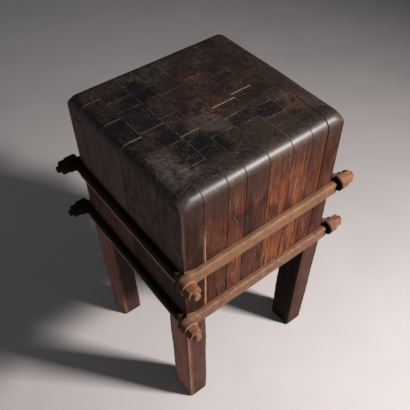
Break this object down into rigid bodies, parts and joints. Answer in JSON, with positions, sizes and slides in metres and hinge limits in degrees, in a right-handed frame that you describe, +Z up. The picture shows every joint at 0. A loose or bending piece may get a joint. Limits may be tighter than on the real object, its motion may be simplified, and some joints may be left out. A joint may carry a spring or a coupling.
{
  "type": "butcher block table",
  "caption": "Thick end-grain butcher's block on short square legs, its upright staves drawn together by bands of flat iron bars that bolt through one another at the corners.",
  "frame": {"origin": "on the floor under the middle of the block", "axes": "+Z up; -Y out of the front face, +X to the right when facing the front"},
  "size_m": [0.556, 0.54, 0.814],
  "materials": {
    "block_wood": "worn, oiled and dark with age",
    "leg_wood": "aged, worn through on the corners",
    "bar_iron": "forged wrought iron with a brown rust skin",
    "nut_iron": "forged iron with orange-brown rust"
  },
  "bodies": {
    "root": {"leg_back_left": "leg_wood", "leg_back_right": "leg_wood", "leg_front_left": "leg_wood", "leg_front_right": "leg_wood", "lower_bar_back": "bar_iron", "lower_bar_front": "bar_iron", "lower_bar_left": "bar_iron", "lower_bar_right": "bar_iron", "lower_nuts": "nut_iron", "stave_a1": "block_wood", "stave_a2": "block_wood", "stave_a3": "block_wood", "stave_a4": "block_wood", "stave_b1": "block_wood", "stave_b2": "block_wood", "stave_b3": "block_wood", "stave_b4": "block_wood", "stave_b5": "block_wood", "stave_b6": "block_wood", "stave_c1": "block_wood", "stave_c2": "block_wood", "stave_c3": "block_wood", "stave_c4": "block_wood", "stave_d1": "block_wood", "stave_d2": "block_wood", "stave_d3": "block_wood", "stave_d4": "block_wood", "stave_d5": "block_wood", "stave_e1": "block_wood", "stave_e2": "block_wood", "stave_e3": "block_wood", "stave_e4": "block_wood", "stave_e5": "block_wood", "stave_e6": "block_wood", "stave_f1": "block_wood", "stave_f2": "block_wood", "stave_f3": "block_wood", "stave_f4": "block_wood", "stave_f5": "block_wood", "stave_f6": "block_wood", "stave_g1": "block_wood", "stave_g2": "block_wood", "stave_g3": "block_wood", "stave_g4": "block_wood", "stave_g5": "block_wood", "stave_h1": "block_wood", "stave_h2": "block_wood", "upper_bar_back": "bar_iron", "upper_bar_front": "bar_iron", "upper_bar_left": "bar_iron", "upper_bar_right": "bar_iron", "upper_nuts": "nut_iron"}
  },
  "joints": []
}
